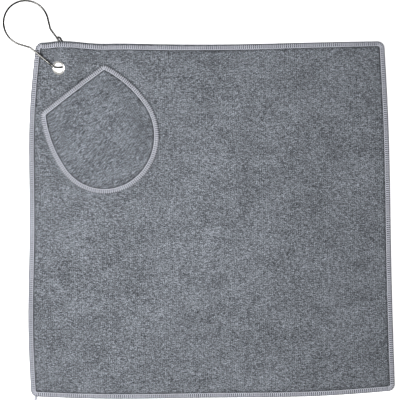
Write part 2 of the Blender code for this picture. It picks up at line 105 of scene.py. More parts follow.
# Pocket plan, from the middle of its mouth down to its round end
MOUTH_MIDDLE = (-120.7, 113.0)
MOUTH_TURN = math.radians(37.7)
MOUTH_HALF = 34.1
BODY_HALF = 47.4
BODY_AT = 50.4
POCKET_LEAN = 0.0625
POCKET_CORNER_R = 5.5
SEAM_INSET = 6.2
MOUTH_POINTS = 41
POCKET_CORNER_POINTS = 7
FLANK_POINTS = 21
ROUND_POINTS = 61

# Pocket section
POCKET_T = 1.2
POCKET_BAND_T = 2.3
POCKET_BAND_CLOTH_T = 0.9
POCKET_FIELD_START = 0.4
POCKET_FIELD_W = 2.0
POCKET_GROOVE_DEPTH = 0.4
POCKET_CLEAR = 0.25
POCKET_GAPE = 4.4
GAPE_FROM = 6.0
GAPE_TO = 24.0
# Its mesh: rings set in from the edge, then rings drawn in towards the middle
POCKET_RINGS = (EDGE_INSET, 2.0, 3.2, 4.2, 4.6, 4.9, 5.2, POCKET_CORNER_R)
DRAWN_RINGS = np.linspace(0.985, 0.02, 44)

# Overlock stitches
STITCH_PITCH = 1.75
LOOPER_R = 0.29
NEEDLE_R = 0.2
NEEDLE_INSET = BAND_W - 0.55
NEEDLE_HEIGHT = 0.93
NEEDLE_DIP = 0.5
UPPER_JITTER = 0.05
LOWER_JITTER = 0.04
# The jitter's share along the edge, across it and up; the least inset a thread has; where
# across the band the cloth's height is taken; and limits as shares of the band's thickness
JITTER_PARTS = (0.35, 1.0, 0.25)
OUTERMOST = 0.12
BASE_INSET = 2.4
LOWEST = 0.14
HIGHEST = 1.06

# Lockstitch that sews the pocket down
SEAM_PITCH = 2.6
SEAM_R = 0.19
SEAM_DIP = 0.45
SEAM_RISE = 0.1
BOBBIN_RISE = 0.22

# Chain of thread at the towel's lower left corner
TAIL_FROM = (-149.5, -147.0, 1.3)
TAIL_TO = (-152.6, -153.8, 0.95)
TAIL_TURNS = 1.8
TAIL_STRANDS = 3
TAIL_R = 0.85
TAIL_WANDER = 0.5
TAIL_HALF_H = 0.45
TAIL_STRAND_R = 0.42
TAIL_POINTS = 40

# Eyelet
EYELET_AT = Vector(JOINTS["clip_swivel"]["pos_m"]) / MM
EYELET_AXIS = Vector(JOINTS["clip_swivel"]["axis"])
HOLE_R = 4.2
FLANGE_R = 6.0
FLANGE_T = 0.5
CROWN_H = 0.6
EYELET_CLOTH_T = 1.2
METAL_CLEAR = 0.05
CUT_CLEAR = 0.5
CUT_REACH = 6.0
CUT_SIDES = 48

# Lift of the cloth over the wire beneath it: its height, how far up the slope its peak is,
# and its reach to each side. The eyelet has a flat seat in it.
LIFT_H = 7.5
LIFT_PEAK = 9.0
LIFT_NEAR = 10.5
LIFT_FAR = 15.0
LIFT_BELOW = 12.5
LIFT_ABOVE = 29.0
SEAT_MARGIN = 0.4
SEAT_FADE = 4.5

# Waves of a towel that was folded and laid out. Each is a height times one or two sines,
# and each sine is given as (length along x, length along y, phase).
WAVES = (
    (0.16, (23.0, 61.0, 0.4)),
    (0.14, (-48.0, 27.0, 1.9)),
    (0.10, (11.5, -37.0, 2.6), (math.inf, 41.0, 0.7)),
    (0.07, (70.0, 9.0, 0.0), (33.0, math.inf, 1.2)),
)
RIPPLE_BASE = 0.42
# Puckers below the eyelet: (place across, width, height), and where they lie down the cloth
PUCKERS = ((-5.5, 1.6, 0.45), (-1.0, 1.4, 0.35), (4.5, 1.9, 0.3))
PUCKER_BELOW = 24.0
PUCKER_REACH = 11.0
PUCKER_FAN = 0.12

# Clip: the bow, a kink at its neck, two legs, the bend through the eyelet, and the return wire with
# the hooked tip that catches the right leg. Lengths along it are taken from the middle of the bow.
WIRE_R = 0.9
WIRE_SIDES = 20
BOW_R = 19.3
KINK_ALONG = 17.6
KINK_ACROSS = 12.0
KINK_R = 3.5
BEND_ALONG = 39.0
BEND_R = 9.2
CATCH_ALONG = 27.4
LEG_END_ALONG = 37.5
WIRE_PITCH = 2 * WIRE_R + 0.3
HOOK_LENGTH = 3.0
HOOK_OVER = WIRE_PITCH + 0.1
TIP_ALONG = 0.2
TIP_ACROSS = 1.2
RETURN_GAP = 2.0
CLIP_ALONG = -Vector(JOINTS["clip_flip"]["axis"])
CLIP_OVER = -Vector(JOINTS["clip_latch"]["axis"])
CLIP_ACROSS = CLIP_OVER.cross(CLIP_ALONG)
BOW_AT = Vector(JOINTS["clip_latch"]["pos_m"]) / MM + CLIP_ALONG * BOW_R

# Knit's tone: how much each pattern counts in it, and (place on the ramp, tone) from dark
# to light
FLECK_SHARE = 0.76
FILAMENT_SHARE = 0.16
PATCH_SHARE = 0.06
WALE_SHARE = 0.02
KNIT_TONES = ((0.375, 0.01), (0.443, 0.044), (0.495, 0.108), (0.54, 0.205), (0.595, 0.38))
# How far painted shade darkens the knit's colour at full share
PAINTED_SHADE_DARK = 0.85
YARN_TINT = (0.95, 0.975, 1.09)

# Knits as (turn, streak, brushing, tint), yarns as (light, dark), metals as (light, dulled,
# roughness). The wire's colour is darkened as a painted reflection: it stands in for dark surroundings
# in its mirror.
CLOTH_KNIT = (0.0, 2.4, 0.24, (0.925, 1.0, 1.12))
POCKET_KNIT = (-math.radians(35.0), 3.2, 0.3, (0.92, 1.0, 1.13))
BAND_YARN = (0.6, 0.36)
# The edge yarn is a darker copy of the band's yarn: painted shade for the outer loops, where the edge
# curls down into shadow. The thread tail at the corner takes it too.
SHADED_RIM_YARN = (0.54, 0.31)
SEAM_YARN = (0.15, 0.08)
NICKEL = ((0.8, 0.79, 0.76), (0.66, 0.65, 0.62), 0.32)
STEEL_WITH_PAINTED_REFLECTION = ((0.11, 0.108, 0.104), (0.075, 0.074, 0.071), 0.22)

# View: straight down on the towel, from far off
VIEW_CENTRE = (-11.5, 17.5)
VIEW_WIDTH = 341.6
LENS = 300.0
SENSOR = 36.0
CLIP_END = 10.0

# Studio. Lights are (name, place, aim, diameter, power), in metres and watts.
LIGHTS = (
    ("top", (-0.07, 0.05, 0.414), (-0.07, 0.05, 0.0), 0.3, 0.9),
    ("side", (-0.245, -0.085, 0.6), (0.05, 0.06, 0.0), 0.26, 4.05),
)
WALL_LIGHT = 0.9
WALL_TONE = (0.25, (1.0, 1.0, 1.0, 1.0))
CEILING_TONE = (0.7, (0.04, 0.04, 0.045, 1.0))
FLOOR_WHITE = (0.93, 0.93, 0.93, 1.0)
FLOOR_GLOW = 0.85
FLOOR_HALF = 3000.0
FLOOR_Z = -0.05

# For the unevenness of the overlock stitches
random = np.random.default_rng(7)


# --- Small tools -----------------------------------------------------------------------


def smooth_step(share):
    share = np.clip(share, 0.0, 1.0)
    return share * share * (3.0 - 2.0 * share)


def painted_shade_share(inset):
    """Share of painted shade on the knit, from 0 to 1, at a distance from the edge: shade under the
    band's threads and just inside them.
    """
    beyond = SHADE_STRIP_SHARE * np.exp(-(((inset - BAND_W - SHADE_STRIP_AT) / SHADE_STRIP_HALF) ** 2))
    under = np.where(inset < RIM_W, RIM_SHARE, 1.0)
    return np.where(inset < UNDER_BAND, under, beyond)


def mark_painted_shade(obj, shares):
    """Keeps each point's share of painted shade on a sheet's mesh, for the knit's material to read.
    The sheet's points are its top's, then its underside's."""
    shares = np.concatenate([shares, shares])
    obj.data.attributes.new("painted_shade", "FLOAT", "POINT").data.foreach_set("value", shares)


def add_mesh(name, points, faces, material, smooth=True):
    """A mesh object from points in millimetres, with its faces turned outward."""
    mesh = bpy.data.meshes.new(name)
    mesh.from_pydata((np.asarray(points, float) * MM).tolist(), [], faces)
    mesh.materials.append(material)
    shape = bmesh.new()
    shape.from_mesh(mesh)
    bmesh.ops.recalc_face_normals(shape, faces=shape.faces)
    shape.to_mesh(mesh)
    shape.free()
    mesh.polygons.foreach_set("use_smooth", [smooth] * len(mesh.polygons))
    obj = bpy.data.objects.new(name, mesh)
    bpy.context.scene.collection.objects.link(obj)
    return obj


def catmull(points, steps, closed):
    """A smooth run of points through the given ones, with steps per stretch."""
    points = np.asarray(points, float)
    if closed:
        before, after = np.roll(points, 1, 0), np.roll(points, -1, 0)
        beyond = np.roll(points, -2, 0)
        start = points
    else:
        padded = np.concatenate([points[:1], points, points[-1:]])
        before, start, after, beyond = padded[:-3], padded[1:-2], padded[2:-1], padded[3:]
    runs = []
    for share in np.arange(steps) / steps:
        square, cube = share * share, share**3
        runs.append(
            0.5
            * (
                2 * start
                + (after - before) * share
                + (2 * before - 5 * start + 4 * after - beyond) * square
                + (3 * start - before - 3 * after + beyond) * cube
            )
        )
    smooth = np.stack(runs, axis=1).reshape(-1, points.shape[1])
    return smooth if closed else np.concatenate([smooth, points[-1:]])


# A direction that no tube starts along, and the radius that a domed end closes to
ASKEW = (0.31, 0.17, 0.93)
END_R = 0.02
DOME_TURNS = np.radians([90.0, 72.0, 50.0, 25.0])


def tube(name, points, radius, material, sides=6, closed=False, round_ends=False):
    """A mesh tube along a run of points, with its section carried along without twist."""
    points = np.asarray(points, float)
    radii = np.full(len(points), radius)
    if round_ends:
        points, radii = with_round_ends(points, radius)
    if closed:
        tangents = np.roll(points, -1, 0) - np.roll(points, 1, 0)
    else:
        tangents = np.gradient(points, axis=0)
    tangents /= np.maximum(np.linalg.norm(tangents, axis=1), TINY)[:, None]
    normals = np.empty_like(points)
    normal = np.cross(tangents[0], ASKEW)
    for k, tangent in enumerate(tangents):
        normal = normal - tangent * (normal @ tangent)
        normal /= np.linalg.norm(normal)
        normals[k] = normal
    beside = np.cross(tangents, normals)
    turns = 2 * np.pi * np.arange(sides) / sides
    ring = np.cos(turns)[None, :, None] * normals[:, None]
    ring = ring + np.sin(turns)[None, :, None] * beside[:, None]
    verts = (points[:, None] + ring * radii[:, None, None]).reshape(-1, 3)
    count = len(points)
    rows = np.arange(count if closed else count - 1)
    side = np.arange(sides)
    here = rows[:, None] * sides + side
    here_next = rows[:, None] * sides + (side + 1) % sides
    ahead = ((rows + 1) % count)[:, None] * sides + side
    ahead_next = ((rows + 1) % count)[:, None] * sides + (side + 1) % sides
    faces = np.stack([here, here_next, ahead_next, ahead], axis=2).reshape(-1, 4).tolist()
    if not closed:
        faces.append(list(range(sides)))
        faces.append(list(range(count * sides - 1, (count - 1) * sides - 1, -1)))
    return add_mesh(name, verts, faces, material)


def with_round_ends(points, radius):
    """Adds domed ends to a tube's run of points, and gives each point's radius."""
    first = points[0] - points[1]
    last = points[-1] - points[-2]
    first /= np.linalg.norm(first)
    last /= np.linalg.norm(last)
    head = [points[0] + first * radius * (math.sin(a) - 1) for a in DOME_TURNS]
    tail = [points[-1] + last * radius * (math.sin(a) - 1) for a in DOME_TURNS[::-1]]
    end_radii = [max(radius * math.cos(a), END_R) for a in DOME_TURNS]
    radii = end_radii + [radius] * (len(points) - 2) + end_radii[::-1]
    return np.array([*head, *points[1:-1], *tail]), np.array(radii)


# --- Heights of the cloth --------------------------------------------------------------

# Square to the eyelet's axis: towards the clip, and beside that
EYELET_ACROSS = (CLIP_ALONG - EYELET_AXIS * CLIP_ALONG.dot(EYELET_AXIS)).normalized()
EYELET_BESIDE = EYELET_AXIS.cross(EYELET_ACROSS)
# Up the slope of the eyelet's seat, and level across it
RISE = Vector((-EYELET_AXIS.x, -EYELET_AXIS.y, 0.0)).normalized()
LEVEL = Vector((-RISE.y, RISE.x, 0.0))
EYELET_SLOPE = math.hypot(EYELET_AXIS.x, EYELET_AXIS.y) / EYELET_AXIS.z


def eyelet_share(x, y):
    """1 on the eyelet's flat seat, fading to 0 round it."""
    distance = np.hypot(x - EYELET_AT.x, y - EYELET_AT.y)
    return 1.0 - smooth_step((distance - FLANGE_R - SEAT_MARGIN) / SEAT_FADE)


def ripple(x, y):
    """Soft waves of the laid towel, and the puckers below its eyelet."""
    waves = np.zeros_like(x)
    for height, *sines in WAVES:
        wave = height
        for along_x, along_y, phase in sines:
            wave = wave * np.sin(x / along_x + y / along_y + phase)
        waves = waves + wave
    below = np.exp(-(((y - EYELET_AT.y + PUCKER_BELOW) / PUCKER_REACH) ** 2))
    pucker = np.zeros_like(x)
    for place, width, height in PUCKERS:
        fan = x - EYELET_AT.x - place - PUCKER_FAN * (EYELET_AT.y - y)
        pucker = pucker + height * np.exp(-((fan / width) ** 2))
    return np.maximum(waves + RIPPLE_BASE, 0.0) + pucker * below


def lift(x, y):
    """Height of the towel's underside: raised over the wire, and flat where the eyelet sits."""
    dx, dy = x - EYELET_AT.x, y - EYELET_AT.y
    rise = dx * RISE.x + dy * RISE.y
    level = dx * LEVEL.x + dy * LEVEL.y
    reach = np.where(rise < LIFT_PEAK, LIFT_NEAR, LIFT_FAR)
    spread = np.where(level < 0.0, LIFT_BELOW, LIFT_ABOVE)
    hump = LIFT_H * np.exp(-(((rise - LIFT_PEAK) / reach) ** 2) - (level / spread) ** 2)
    plane = EYELET_AT.z - CLOTH_T / 2 + EYELET_SLOPE * rise
    share = eyelet_share(x, y)
    return (hump + ripple(x, y)) * (1.0 - share) + plane * share


# --- Outlines --------------------------------------------------------------------------


def side_normal(side):
    """Outward direction of a side's straight run."""
    ahead = Vector(TOWEL_CORNERS[(side + 1) % 4]) - Vector(TOWEL_CORNERS[side])
    ahead.normalize()
    return Vector((-ahead.y, ahead.x))


def corner_core(corner):
    """Centre of a corner's rounding."""
    before, after = side_normal(corner - 1), side_normal(corner)
    mitre = (before + after) / (1.0 + before.dot(after))
    return Vector(TOWEL_CORNERS[corner]) - mitre * CORNER_R


def side_bow(side, part):
    """How far a side stands out from its straight run, at a part of its length."""
    waves = (SIDE_BOW[side], SIDE_SKEW[side], SIDE_FLAT[side])
    bow = sum(size * math.sin((k + 1) * math.pi * part) for k, size in enumerate(waves))
    if side == 0:
        bow += sum(size * math.exp(-(((part - at) / width) ** 2)) for at, width, size in WIRE_PUSH)
    return bow


def towel_side(side, shares, inset):
    """Points of one side moved in by inset, from the middle of one corner to the next."""
    first, last = corner_core(side), corner_core((side + 1) % 4)
    normal = side_normal(side)
    radius = CORNER_R - inset
    straight = (last - first).length
    arc_length = radius * math.pi / 4
    points = []
    for share in shares:
        distance = share * (straight + 2 * arc_length)
        run = min(max(distance - arc_length, 0.0), straight)
        over = min(distance - arc_length, 0.0) + max(distance - arc_length - straight, 0.0)
        outward = Matrix.Rotation(-over / radius, 2) @ normal
        part = run / straight
        points.append(first.lerp(last, part) + outward * radius + normal * side_bow(side, part))
    return np.array([tuple(p) for p in points])


def distance_to(points, line, closed=True):
    """Distance from each point to the nearest place on a line."""
    ends = np.roll(line, -1, axis=0) if closed else line[1:]
    starts = line if closed else line[:-1]
    best = np.full(len(points), np.inf)
    for start, end in zip(starts, ends):
        run = end - start
        share = np.clip((points - start) @ run / max(run @ run, TINY), 0.0, 1.0)
        off = points - start - share[:, None] * run
        best = np.minimum(best, np.hypot(off[:, 0], off[:, 1]))
    return best


class Edge:
    """A closed edge as centres and outward directions, read by the distance round it. That
    distance is measured along a line a little way in, in the middle of the stitches."""

    MEASURE_INSET = 1.5

    def __init__(self, centres, outward, radius):
        self.centres = np.array(centres, float)
        self.outward = np.array(outward, float)
        self.radius = radius
        line = self.centres + self.outward * (radius - self.MEASURE_INSET)
        steps = np.linalg.norm(np.roll(line, -1, 0) - line, axis=1)
        self.along = np.concatenate([[0.0], np.cumsum(steps)])
        self.length = self.along[-1]

    def at(self, distance, inset):
        """Points at distances round the edge, each moved in by its inset."""
        distance = np.mod(distance, self.length)
        columns = []
        for table in (self.centres, self.outward):
            closed = np.concatenate([table, table[:1]])
            columns.append([np.interp(distance, self.along, closed[:, k]) for k in (0, 1)])
        centre, outward = (np.stack(c, axis=1) for c in columns)
        outward /= np.linalg.norm(outward, axis=1)[:, None]
        return centre + outward * (self.radius - inset)[:, None]


def towel_edge():
    """The towel's edge, clockwise from its upper left corner."""
    centres, outward = [], []
    for side in range(4):
        first, last = corner_core(side), corner_core((side + 1) % 4)
        before, normal = side_normal(side - 1), side_normal(side)
        for share in np.linspace(0.0, 1.0, CORNER_STEPS)[1:-1]:
            centres.append(tuple(first))
            outward.append(tuple(before.slerp(normal, share)))
        for part in np.linspace(0.0, 1.0, SIDE_POINTS):
            centres.append(tuple(first.lerp(last, part) + normal * side_bow(side, part)))
            outward.append(tuple(normal))
    return Edge(centres, outward, CORNER_R)


# The pocket's flanks are arcs that run into its half round end
FLARE = BODY_HALF - MOUTH_HALF
SIDE_R = (BODY_AT**2 + FLARE**2) / (2 * FLARE)
POCKET_TURN = Matrix.Rotation(MOUTH_TURN, 2)


def pocket_world(across, along):
    """Place on the towel's plan of a point given across the pocket and down from its mouth."""
    turned = POCKET_TURN @ Vector((across - POCKET_LEAN * along, -along))
    return turned.x + MOUTH_MIDDLE[0], turned.y + MOUTH_MIDDLE[1]


def pocket_direction(turn):
    """Direction on the towel's plan of a turn taken from across the pocket."""
    outward = POCKET_TURN @ Vector((math.cos(turn), math.sin(turn)))
    return outward.x, outward.y


def pocket_core():
    """Centres and outward turns of the pocket's edge, clockwise from the mouth's left end."""
    radius = SIDE_R - POCKET_CORNER_R
    side_centre = BODY_HALF - SIDE_R
    side_turn = math.asin((BODY_AT - POCKET_CORNER_R) / radius)
    mouth_end = side_centre + radius * math.cos(side_turn)
    mouth = np.linspace(-mouth_end, mouth_end, MOUTH_POINTS)
    core = [((across, POCKET_CORNER_R), math.pi / 2) for across in mouth]
    for turn in np.linspace(math.pi / 2, side_turn, POCKET_CORNER_POINTS)[1:]:
        core.append(((mouth_end, POCKET_CORNER_R), turn))
    for turn in np.linspace(side_turn, 0.0, FLANK_POINTS)[1:]:
        place = (side_centre + radius * math.cos(turn), BODY_AT - radius * math.sin(turn))
        core.append((place, turn))
    body_radius = BODY_HALF - POCKET_CORNER_R
    for turn in np.linspace(0.0, -math.pi, ROUND_POINTS)[1:]:
        place = (body_radius * math.cos(turn), BODY_AT - body_radius * math.sin(turn))
        core.append((place, turn))
    for turn in np.linspace(0.0, side_turn, FLANK_POINTS)[1:]:
        place = (-side_centre - radius * math.cos(turn), BODY_AT - radius * math.sin(turn))
        core.append((place, math.pi - turn))
    for turn in np.linspace(math.pi - side_turn, math.pi / 2, POCKET_CORNER_POINTS)[1:-1]:
        core.append(((-mouth_end, POCKET_CORNER_R), turn))
    return core


POCKET_CORE = pocket_core()


def pocket_loop(inset, draw_in=1.0):
    """The pocket's outline set in by inset, then drawn in towards the middle of its body."""
    points = []
    reach = POCKET_CORNER_R - inset
    for (across, along), turn in POCKET_CORE:
        place = (across + reach * math.cos(turn), along - reach * math.sin(turn))
        points.append(pocket_world(place[0] * draw_in, BODY_AT + (place[1] - BODY_AT) * draw_in))
    return np.array(points)


TOWEL_EDGE = towel_edge()
OUTLINE_STATIONS = np.linspace(0, TOWEL_EDGE.length, OUTLINE_POINTS + 1)[:-1]
TOWEL_OUTLINE = TOWEL_EDGE.at(OUTLINE_STATIONS, np.zeros(OUTLINE_POINTS))
POCKET_EDGE = Edge(
    [pocket_world(*place) for place, _ in POCKET_CORE],
    [pocket_direction(turn) for _, turn in POCKET_CORE],
    POCKET_CORNER_R,
)
POCKET_OUTLINE = pocket_loop(0.0)
# The sewn part of it: all but the mouth
SEWN_POINTS = len(POCKET_OUTLINE) - MOUTH_POINTS + 1
POCKET_SEWN = np.roll(POCKET_OUTLINE, -MOUTH_POINTS, axis=0)[:SEWN_POINTS]


def pocket_base(points):
    """Height of the pocket's underside: on the towel along the sewn edge, gaping inside it."""
    from_seam = distance_to(points, POCKET_SEWN, closed=False)
    gape = POCKET_GAPE * smooth_step((from_seam - GAPE_FROM) / (GAPE_TO - GAPE_FROM))
    return lift(points[:, 0], points[:, 1]) + CLOTH_T + POCKET_CLEAR + gape


# --- Materials -------------------------------------------------------------------------


class Nodes:
    """A short way to write a material's node tree."""

    def __init__(self, name):
        self.material = bpy.data.materials.new(name)
        self.material.use_nodes = True
        self.tree = self.material.node_tree
        self.shader = self.tree.nodes["Principled BSDF"]
        self.place = self.add("ShaderNodeTexCoord").outputs["Object"]

    def add(self, kind, **values):
        node = self.tree.nodes.new(kind)
        for key, value in values.items():
            setattr(node, key, value)
        return node

    def link(self, source, target):
        self.tree.links.new(source, target)

    def scaled(self, per_mm):
        """The object's own coordinates, with per_mm units to a millimetre."""
        node = self.add("ShaderNodeMapping", vector_type="POINT")
        node.inputs["Scale"].default_value = (per_mm / MM, per_mm / MM, per_mm / MM)
        self.link(self.place, node.inputs["Vector"])
        return node.outputs["Vector"]

    def turned(self, turn):
        """The object's own coordinates, turned about Z."""
        node = self.add("ShaderNodeVectorRotate", rotation_type="Z_AXIS")
        node.inputs["Angle"].default_value = turn
        self.link(self.place, node.inputs["Vector"])
        return node.outputs["Vector"]

    def noise(self, vector, detail=2.0, roughness=0.5):
        node = self.add("ShaderNodeTexNoise", noise_dimensions="3D")
        node.inputs["Scale"].default_value = 1.0
        node.inputs["Detail"].default_value = detail
        node.inputs["Roughness"].default_value = roughness
        self.link(vector, node.inputs["Vector"])
        return node.outputs["Fac"]

    def maths(self, operation, a, b):
        node = self.add("ShaderNodeMath", operation=operation)
        for socket, value in zip(node.inputs, (a, b)):
            if isinstance(value, (int, float)):
                socket.default_value = value
            else:
                self.link(value, socket)
        return node.outputs[0]

    def weighted(self, parts):
        """The sum of values, each times its weight."""
        total = None
        for value, weight in parts:
            part = self.maths("MULTIPLY", value, weight)
            total = part if total is None else self.maths("ADD", total, part)
        return total

    def ramp(self, factor, stops):
        node = self.add("ShaderNodeValToRGB")
        elements = node.color_ramp.elements
        while len(elements) < len(stops):
            elements.new(0.5)
        for element, (position, colour) in zip(elements, stops):
            element.position = position
            element.color = (*colour, 1.0)
        self.link(factor, node.inputs["Fac"])
        return node.outputs["Color"]

    def bump(self, height, strength, distance, normal=None):
        node = self.add("ShaderNodeBump")
        node.inputs["Strength"].default_value = strength
        node.inputs["Distance"].default_value = distance * MM
        self.link(height, node.inputs["Height"])
        if normal is not None:
            self.link(normal, node.inputs["Normal"])
        return node.outputs["Normal"]


def grey(level, tint):
    return tuple(level * t for t in tint)


def knit_material(name, turn, streak, brushing, tint):
    """Heathered knit microfibre: light and dark flecks lying along the courses, faint wales
    across them, and a soft napped relief. turn lays the courses; streak is how far they
    run, and brushing how much they show."""
    n = Nodes(name)
    turned = n.turned(turn)

    def stretched(x, y, offset=0.0):
        """Coordinates with x and y units to a millimetre, and few up the cloth's relief."""
        node = n.add("ShaderNodeMapping", vector_type="POINT")
        node.inputs["Location"].default_value = (offset, offset * 0.37, 0.0)
        node.inputs["Scale"].default_value = (x / MM, y / MM, 0.15 / MM)
        n.link(turned, node.inputs["Vector"])
        return node.outputs["Vector"]

    fleck = n.noise(stretched(1.6, 2.1), roughness=0.6)
    course = n.noise(stretched(1.0 / streak, 2.1, 7.3), detail=1.0)
    filament = n.noise(stretched(2.6, 4.6, 3.1), roughness=0.7)
    patch = n.noise(stretched(0.035, 0.05, 1.7))
    wale = n.add("ShaderNodeTexWave", wave_type="BANDS", bands_direction="X", wave_profile="SIN")
    wale.inputs["Scale"].default_value = 0.19
    wale.inputs["Distortion"].default_value = 1.2
    wale.inputs["Detail"].default_value = 2.0
    n.link(stretched(1.0, 1.0, 2.0), wale.inputs["Vector"])

    heather = (
        (fleck, FLECK_SHARE - brushing),
        (course, brushing),
        (filament, FILAMENT_SHARE),
        (patch, PATCH_SHARE),
        (wale.outputs["Fac"], WALE_SHARE),
    )
    tones = [(at, grey(level, tint)) for at, level in KNIT_TONES]
    colour = n.ramp(n.weighted(heather), tones)
    # Painted shade: the knit's colour is darkened by the mesh's shade share, standing for the shadow
    # under and just inside the band's threads
    painted_shade = n.add("ShaderNodeAttribute", attribute_name="painted_shade").outputs["Fac"]
    shade = n.maths("SUBTRACT", 1.0, n.maths("MULTIPLY", painted_shade, PAINTED_SHADE_DARK))
    shaded = n.add("ShaderNodeVectorMath", operation="SCALE")
    n.link(colour, shaded.inputs[0])
    n.link(shade, shaded.inputs["Scale"])
    n.link(shaded.outputs[0], n.shader.inputs["Base Color"])

    loops = n.maths("ADD", n.maths("MULTIPLY", wale.outputs["Fac"], 0.5), fleck)
    normal = n.bump(loops, 0.6, 0.5)
    normal = n.bump(filament, 0.5, 0.25, normal)
    n.link(normal, n.shader.inputs["Normal"])
    n.shader.inputs["Roughness"].default_value = 0.95
    n.shader.inputs["Specular IOR Level"].default_value = 0.15
    n.shader.inputs["Sheen Weight"].default_value = 0.08
    n.shader.inputs["Sheen Roughness"].default_value = 0.6
    return n.material


def thread_material(name, light, dark):
    """Textured yarn: fine crimped filaments and a slow change of tone along the edge."""
    n = Nodes(name)
    fibre = n.noise(n.scaled(4.0), detail=3.0, roughness=0.7)
    slow = n.noise(n.scaled(0.06))
    tones = ((0.3, grey(dark, YARN_TINT)), (0.7, grey(light, YARN_TINT)))
    colour = n.ramp(n.weighted(((fibre, 0.7), (slow, 0.3))), tones)
    n.link(colour, n.shader.inputs["Base Color"])
    n.link(n.bump(fibre, 0.5, 0.12), n.shader.inputs["Normal"])
    n.shader.inputs["Roughness"].default_value = 0.75
    n.shader.inputs["Specular IOR Level"].default_value = 0.3
    n.shader.inputs["Sheen Weight"].default_value = 0.3
    n.shader.inputs["Sheen Roughness"].default_value = 0.5
    return n.material


def metal_material(name, light, dark, roughness):
    """Plated metal: fine handling marks in its gloss and a little dulling in places."""
    n = Nodes(name)
    marks = n.noise(n.scaled(0.9), detail=4.0, roughness=0.65)
    fine = n.noise(n.scaled(9.0))
    n.link(n.ramp(marks, [(0.35, dark), (0.6, light)]), n.shader.inputs["Base Color"])
    spread = n.maths("ADD", n.maths("MULTIPLY", marks, roughness), roughness * 0.5)
    n.link(spread, n.shader.inputs["Roughness"])
    n.link(n.bump(fine, 0.3, 0.01), n.shader.inputs["Normal"])
    n.shader.inputs["Metallic"].default_value = 1.0
    return n.material


# --- Towel -----------------------------------------------------------------------------


def eyelet_outward(step, steps):
    """Direction out from the eyelet's axis, at a step of a full turn about it."""
    turn = 2 * math.pi * step / steps
    return EYELET_ACROSS * math.cos(turn) + EYELET_BESIDE * math.sin(turn)


def towel_heights(flat):
    """Underside and top height of the towel's cloth at each point."""
    x, y = flat[:, 0], flat[:, 1]
    inset = distance_to(flat, TOWEL_OUTLINE)
    field = smooth_step((inset - BAND_W - FIELD_START) / (FIELD_INSET - BAND_W))
    groove = GROOVE_DEPTH * np.exp(-(((inset - BAND_W - GROOVE_AT) / GROOVE_HALF) ** 2))
    middle = BAND_T / 2 + (CLOTH_T - BAND_T) / 2 * field
    half = (BAND_CLOTH_T + (CLOTH_T - BAND_CLOTH_T) * field) / 2
    clamped = EYELET_CLOTH_T / 2 / EYELET_AXIS.z
    near = smooth_step(eyelet_share(x, y))
    half = half + (clamped - half) * near
    centre = lift(x, y) + middle
    return centre - half, centre + half - groove * (1.0 - near)


def sheet_faces(rows, columns):
    """Faces of a closed sheet: a grid, the same grid beneath it, and a wall round both."""
    below = rows * columns
    grid = (np.arange(rows - 1)[:, None] * columns + np.arange(columns - 1)).reshape(-1, 1)
    top = (grid + np.array([0, 1, columns + 1, columns])).tolist()
    under = (grid + below + np.array([0, columns, columns + 1, 1])).tolist()
    rim = list(range(columns))
    rim += [j * columns + columns - 1 for j in range(1, rows)]
    rim += [(rows - 1) * columns + i for i in range(columns - 2, -1, -1)]
    rim += [j * columns for j in range(rows - 2, 0, -1)]
    wall = [(b, a, a + below, b + below) for a, b in zip(rim, rim[1:] + rim[:1])]
    return top + under + wall


def towel_grid():
    """Plan points of the towel's cloth, as rows between its four sides."""
    rim = np.array(RIM_ROWS) / GRID_SIDE
    middle = np.linspace(FIRST_EVEN_ROW / GRID_SIDE, 1 - FIRST_EVEN_ROW / GRID_SIDE, EVEN_ROWS)
    stations = np.concatenate([rim, middle, 1.0 - rim[::-1]])
    top = towel_side(0, stations, EDGE_INSET)
    right = towel_side(1, stations, EDGE_INSET)
    bottom = towel_side(2, 1.0 - stations, EDGE_INSET)
    left = towel_side(3, 1.0 - stations, EDGE_INSET)
    u = stations[:, None]
    rows = []
    for j, v in enumerate(stations):
        row = (1 - v) * top + v * bottom + (1 - u) * left[j] + u * right[j]
        row -= (1 - u) * ((1 - v) * top[0] + v * bottom[0])
        row -= u * ((1 - v) * top[-1] + v * bottom[-1])
        rows.append(row)
    return np.concatenate(rows), len(stations)


def make_towel(material):
    flat, count = towel_grid()
    under, over = towel_heights(flat)
    points = np.concatenate([np.column_stack([flat, over]), np.column_stack([flat, under])])
    towel = add_mesh("towel_cloth_knit", points, sheet_faces(count, count), material)
    # Painted shade on the knit under and just inside the band's threads
    mark_painted_shade(towel, painted_shade_share(distance_to(flat, TOWEL_OUTLINE)))
    open_eyelet_hole(towel, material)
    return towel


def open_eyelet_hole(towel, material):
    """Cuts the round hole that the eyelet's barrel passes through."""
    rim = [eyelet_outward(k, CUT_SIDES) * (HOLE_R + CUT_CLEAR) for k in range(CUT_SIDES)]
    points = [EYELET_AT + p - EYELET_AXIS * CUT_REACH for p in rim]
    points += [EYELET_AT + p + EYELET_AXIS * CUT_REACH for p in rim]
    first = np.arange(CUT_SIDES)
    ahead = np.roll(first, -1)
    wall = np.stack([first, ahead, ahead + CUT_SIDES, first + CUT_SIDES], axis=1)
    faces = [first.tolist(), (first + CUT_SIDES)[::-1].tolist(), *wall.tolist()]
    cutter = add_mesh("eyelet_hole_cutter", points, faces, material, smooth=False)
    modifier = towel.modifiers.new("hole", "BOOLEAN")
    modifier.operation = "DIFFERENCE"
    modifier.solver = "EXACT"
    modifier.object = cutter
    graph = bpy.context.evaluated_depsgraph_get()
    mesh = bpy.data.meshes.new_from_object(towel.evaluated_get(graph))
    towel.modifiers.clear()
    towel.data = mesh
    bpy.data.objects.remove(cutter)


# --- Overlock stitches -----------------------------------------------------------------

